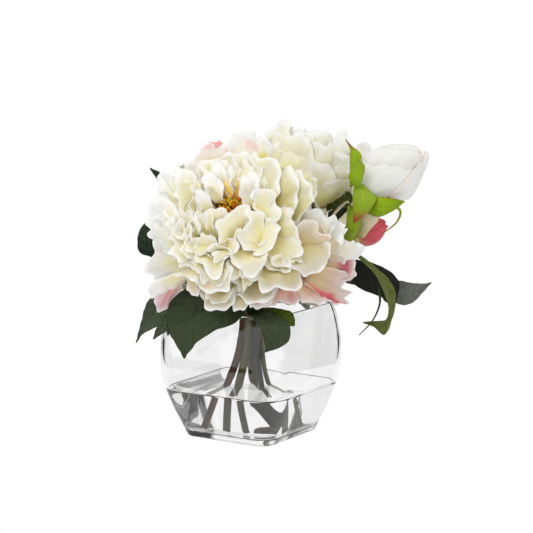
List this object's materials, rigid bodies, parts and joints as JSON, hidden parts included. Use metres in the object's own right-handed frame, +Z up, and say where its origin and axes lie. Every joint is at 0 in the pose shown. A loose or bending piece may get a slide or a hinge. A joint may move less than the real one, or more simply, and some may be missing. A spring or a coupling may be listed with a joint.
{
  "type": "peonies in a vase",
  "caption": "Cream double peony, a second bloom, white buds and dark leaves on stems standing in water in a square, swelling clear-glass vase.",
  "frame": {"origin": "centre of the flat underside of the vase", "axes": "+Z up; X and Y square to the vase's four faces; the open bloom faces between -Y and +X and leans upward"},
  "size_m": [0.2163, 0.2251, 0.2455],
  "materials": {
    "bud_blush": "matte",
    "bud_white": "satin",
    "leaf_dark": "satin",
    "leaf_light": "satin",
    "leaf_underside": "matte",
    "petal_back": "matte",
    "petal_core": "matte",
    "petal_cream": "matte",
    "petal_guard": "matte",
    "petal_pink": "matte",
    "sepal_green": "satin",
    "stamens": "matte",
    "stem_brown": "matte",
    "stem_dark": "satin",
    "stem_green": "satin",
    "vase_glass": "gloss",
    "water": "gloss"
  },
  "bodies": {
    "root": {"back_core": "petal_core", "back_petal_a": "petal_back", "back_petal_b": "petal_back", "back_petal_c": "petal_back", "back_petal_d": "petal_back", "back_whorl_1": "petal_back", "back_whorl_2": "petal_back", "bud1_heart": "bud_white", "bud1_petal_a": "bud_white", "bud1_petal_b": "bud_white", "bud1_petal_c": "bud_white", "bud1_sepal_a": "sepal_green", "bud1_sepal_b": "sepal_green", "bud1_sepal_c": "sepal_green", "bud1_sepal_d": "sepal_green", "bud2_heart": "bud_blush", "bud2_petal_a": "bud_blush", "bud2_sepal_a": "sepal_green", "front_petal_a": "petal_guard", "front_petal_b": "petal_guard", "front_petal_c": "petal_pink", "front_petal_d": "petal_pink", "front_petal_e": "petal_pink", "front_petal_f": "petal_guard", "front_petal_g": "petal_guard", "front_petal_h": "petal_guard", "front_petal_i": "petal_pink", "front_petal_j": "petal_guard", "front_petal_k": "petal_guard", "front_petal_l": "petal_guard", "front_petal_m": "petal_guard", "front_petal_n": "petal_guard", "front_stamens": "stamens", "front_whorl_1": "petal_cream", "front_whorl_2": "petal_cream", "front_whorl_3": "petal_cream", "front_whorl_4": "petal_cream", "leaf_back_left": "leaf_dark", "leaf_back_middle": "leaf_dark", "leaf_back_right": "leaf_dark", "leaf_curl": "leaf_light", "leaf_front_left_lower": "leaf_dark", "leaf_front_left_upper": "leaf_dark", "leaf_front_light": "leaf_light", "leaf_front_tip": "leaf_dark", "leaf_left_behind": "leaf_dark", "leaf_left_low": "leaf_dark", "leaf_left_small": "leaf_dark", "leaf_right_broad": "leaf_dark", "leaf_right_narrow": "leaf_dark", "leaf_right_under": "leaf_underside", "leaf_top_left": "leaf_dark", "stem_back_bloom": "stem_green", "stem_front_bloom": "stem_green", "stem_large_bud": "stem_dark", "stem_leaf_left": "stem_brown", "stem_small_bud": "stem_green", "vase": "vase_glass", "water": "water"}
  },
  "joints": []
}
